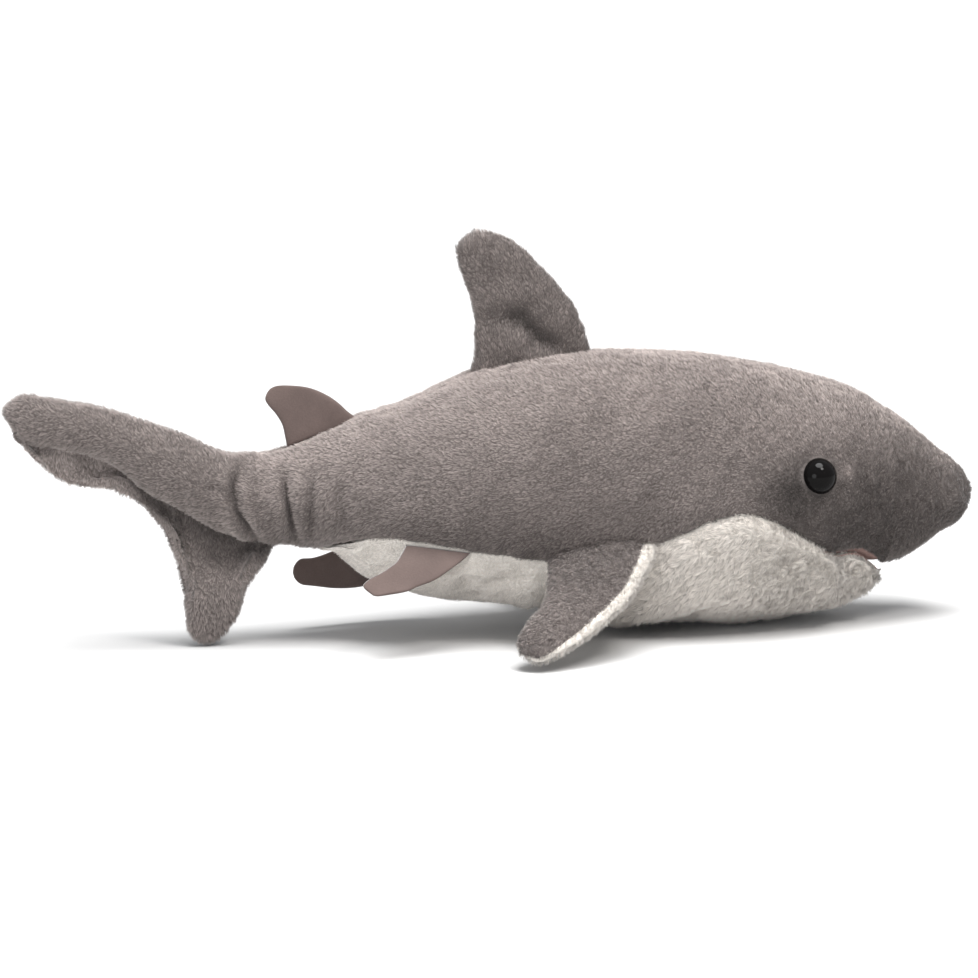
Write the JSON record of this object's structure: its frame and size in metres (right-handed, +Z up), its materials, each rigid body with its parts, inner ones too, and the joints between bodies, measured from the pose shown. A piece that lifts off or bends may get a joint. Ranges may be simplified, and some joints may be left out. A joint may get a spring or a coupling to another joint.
{
  "type": "plush shark",
  "caption": "Stuffed plush shark, grey above and white below, with soft bending tail and fins and safety eyes; it rests on its belly.",
  "frame": {"origin": "on the surface the toy rests on, under the middle of its box", "axes": "+X from the tail towards the nose, +Y to the shark's left, +Z up"},
  "size_m": [0.3294, 0.1522, 0.1374],
  "materials": {
    "grey_plush": "short pile plush",
    "white_plush": "short pile plush",
    "suede": "flat suede cloth",
    "mouth_lining": "flat cloth",
    "stuffing": "polyester fibre fill",
    "eye": "polished",
    "washer": "moulded"
  },
  "bodies": {
    "torso": {"back_panel_right": "grey_plush", "back_panel_left": "grey_plush", "belly_panel": "white_plush", "throat_panel": "white_plush", "torso_stuffing": "stuffing", "palate_lining": "mouth_lining", "eye_right": "eye", "eye_left": "eye", "eye_washer_right": "washer", "eye_washer_left": "washer"},
    "jaw": {"chin_panel": "white_plush", "jaw_stuffing": "stuffing", "mouth_floor_lining": "mouth_lining"},
    "tail_stock": {"tail_stock_panel_right": "grey_plush", "tail_stock_panel_left": "grey_plush", "tail_underside_panel": "white_plush", "tail_stock_stuffing": "stuffing"},
    "tail_fin": {"tail_fin_panel_right": "grey_plush", "tail_fin_panel_left": "grey_plush", "upper_lobe_stuffing": "stuffing", "lower_lobe_stuffing": "stuffing"},
    "dorsal_fin": {"dorsal_fin_panel_right": "grey_plush", "dorsal_fin_panel_left": "grey_plush", "dorsal_fin_stuffing": "stuffing"},
    "rear_dorsal_fin": {"rear_dorsal_fin": "suede"},
    "pectoral_fin_right": {"pectoral_top_panel_right": "grey_plush", "pectoral_under_panel_right": "white_plush", "pectoral_stuffing_right": "stuffing"},
    "pectoral_fin_left": {"pectoral_top_panel_left": "grey_plush", "pectoral_under_panel_left": "white_plush", "pectoral_stuffing_left": "stuffing"},
    "pelvic_fin_right": {"pelvic_fin_right": "suede"},
    "pelvic_fin_left": {"pelvic_fin_left": "suede"}
  },
  "joints": [
    {"name": "jaw_open", "type": "hinge", "parent": "torso", "child": "jaw", "pos_m": [0.11, 0, 0.0205], "axis": [0, 1, 0], "range_deg": [0, 8], "stiffness_Nm_per_rad": 0.03},
    {"name": "tail_bend", "type": "hinge", "parent": "torso", "child": "tail_stock", "pos_m": [-0.044, 0, 0.048], "axis": [0, 0, 1], "range_deg": [-25, 25], "stiffness_Nm_per_rad": 0.03},
    {"name": "tail_fin_bend", "type": "hinge", "parent": "tail_stock", "child": "tail_fin", "pos_m": [-0.086, 0, 0.05], "axis": [0, 0, 1], "range_deg": [-30, 30], "stiffness_Nm_per_rad": 0.02},
    {"name": "dorsal_fin_tilt", "type": "hinge", "parent": "torso", "child": "dorsal_fin", "pos_m": [-0.00757, 0, 0.09753], "axis": [0.9899, 0, 0.1421], "range_deg": [-45, 45], "stiffness_Nm_per_rad": 0.01},
    {"name": "rear_dorsal_fin_tilt", "type": "hinge", "parent": "tail_stock", "child": "rear_dorsal_fin", "pos_m": [-0.07046, 0, 0.06896], "axis": [0.9466, 0, 0.3223], "range_deg": [-60, 60], "stiffness_Nm_per_rad": 0.002},
    {"name": "pectoral_fin_right_raise", "type": "hinge", "parent": "torso", "child": "pectoral_fin_right", "pos_m": [0.03109, -0.04357, 0.0276], "axis": [-0.9788, 0.1514, -0.1379], "range_deg": [-10, 45], "stiffness_Nm_per_rad": 0.01},
    {"name": "pectoral_fin_left_raise", "type": "hinge", "parent": "torso", "child": "pectoral_fin_left", "pos_m": [0.03109, 0.04357, 0.0276], "axis": [0.9788, 0.1514, 0.1379], "range_deg": [-10, 45], "stiffness_Nm_per_rad": 0.01},
    {"name": "pelvic_fin_right_raise", "type": "hinge", "parent": "torso", "child": "pelvic_fin_right", "pos_m": [-0.02359, -0.03001, 0.03291], "axis": [-0.9712, 0.1952, 0.1367], "range_deg": [-15, 40], "stiffness_Nm_per_rad": 0.002},
    {"name": "pelvic_fin_left_raise", "type": "hinge", "parent": "torso", "child": "pelvic_fin_left", "pos_m": [-0.02397, 0.02961, 0.03173], "axis": [0.9717, 0.2149, 0.0977], "range_deg": [-15, 40], "stiffness_Nm_per_rad": 0.002}
  ]
}
